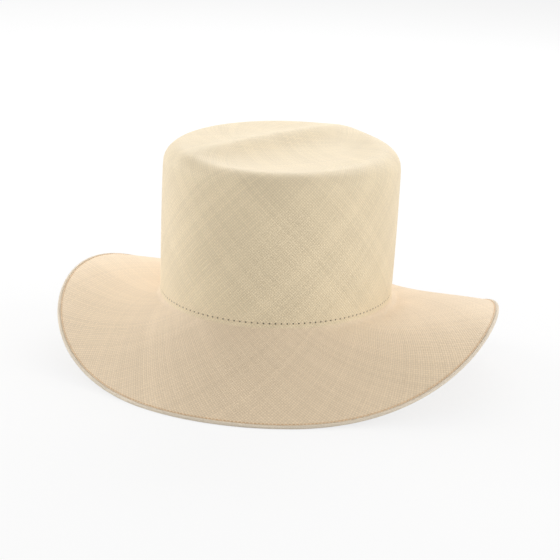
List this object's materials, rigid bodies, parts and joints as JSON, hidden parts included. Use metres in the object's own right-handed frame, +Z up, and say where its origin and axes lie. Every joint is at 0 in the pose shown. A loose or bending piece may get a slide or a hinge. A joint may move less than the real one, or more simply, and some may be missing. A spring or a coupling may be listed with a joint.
{
  "type": "panama hat",
  "caption": "Woven straw panama hat with a tall dented crown, a wide dipping brim with a wired hem, and a leather sweatband stitched inside.",
  "frame": {"origin": "centre of the hat's bounding box, on the level its hem stands on", "axes": "+Z up out of the crown, +X to the wearer's left, -Y to the front of the hat"},
  "size_m": [0.3354, 0.3126, 0.1734],
  "materials": {
    "crown_straw": "natural woven toquilla straw",
    "brim_straw": "natural woven toquilla straw",
    "hem_straw": "folded straw over a wire",
    "wire": "drawn spring wire",
    "sleeve": "plain tube",
    "hem_thread": "sewing thread",
    "leather": "smooth, semi-matte",
    "reed": "extruded rod",
    "tape": "woven cotton tape",
    "band_thread": "sewing thread",
    "bow_ribbon": "narrow satin ribbon"
  },
  "bodies": {
    "root": {"crown": "crown_straw", "brim": "brim_straw", "brim_hem": "hem_straw", "brim_wire": "wire", "brim_wire_sleeve": "sleeve", "brim_hem_thread": "hem_thread", "sweatband": "leather", "sweatband_reed": "reed", "reed_tape": "tape", "sweatband_tape_thread": "band_thread", "sweatband_thread": "band_thread", "sweatband_seam_patch": "tape", "sweatband_seam_thread": "band_thread", "sweatband_bow": "bow_ribbon"}
  },
  "joints": []
}
